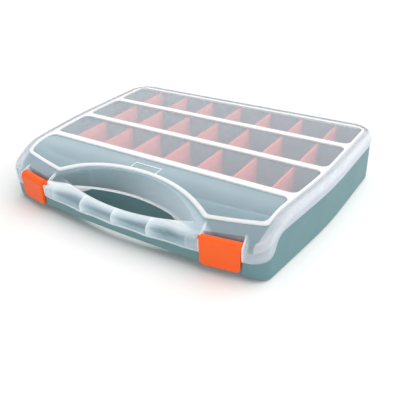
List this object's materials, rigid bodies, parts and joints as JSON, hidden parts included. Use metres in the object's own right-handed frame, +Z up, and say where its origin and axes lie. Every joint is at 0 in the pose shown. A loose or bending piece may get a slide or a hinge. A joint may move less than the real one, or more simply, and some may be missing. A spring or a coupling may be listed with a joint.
{
  "type": "compartment storage box",
  "caption": "Flat storage box with a translucent hinged lid, rows of small compartments with upright dividers, a front carrying handle and pivoting front latches.",
  "frame": {"origin": "centre of the resting footprint's bounding box, on the surface the box rests on", "axes": "+X across the width to the box's right seen from the handle, -Y towards the handle, +Z up"},
  "size_m": [0.378, 0.29, 0.0605],
  "materials": {
    "lid_plastic": "natural translucent polypropylene, lightly frosted",
    "tray_plastic": "satin moulded",
    "latch_plastic": "satin moulded",
    "divider_plastic": "satin moulded",
    "pin_steel": "drawn wire"
  },
  "bodies": {
    "base": {"tray": "tray_plastic", "hinge_pin_left": "pin_steel", "hinge_pin_right": "pin_steel", "divider_1_1": "divider_plastic", "divider_1_2": "divider_plastic", "divider_1_3": "divider_plastic", "divider_1_4": "divider_plastic", "divider_1_5": "divider_plastic", "divider_1_6": "divider_plastic", "divider_1_7": "divider_plastic", "divider_2_1": "divider_plastic", "divider_2_2": "divider_plastic", "divider_2_3": "divider_plastic", "divider_2_4": "divider_plastic", "divider_2_5": "divider_plastic", "divider_2_6": "divider_plastic", "divider_2_7": "divider_plastic", "divider_3_1": "divider_plastic", "divider_3_2": "divider_plastic", "divider_3_3": "divider_plastic", "divider_3_4": "divider_plastic", "divider_3_5": "divider_plastic", "divider_3_6": "divider_plastic", "divider_3_7": "divider_plastic"},
    "lid": {"lid": "lid_plastic"},
    "latch_left": {"latch_left": "latch_plastic"},
    "latch_right": {"latch_right": "latch_plastic"}
  },
  "joints": [
    {"name": "lid_hinge", "type": "hinge", "parent": "base", "child": "lid", "pos_m": [0, 0.1407, 0.0415], "axis": [-1, 0, 0], "range_deg": [0, 100]},
    {"name": "latch_left_pivot", "type": "hinge", "parent": "lid", "child": "latch_left", "pos_m": [-0.12969, -0.13189, 0.0376], "axis": [-0.9863, 0.165, 0], "range_deg": [0, 110]},
    {"name": "latch_right_pivot", "type": "hinge", "parent": "lid", "child": "latch_right", "pos_m": [0.12969, -0.13189, 0.0376], "axis": [-0.9863, -0.165, 0], "range_deg": [0, 110]}
  ]
}
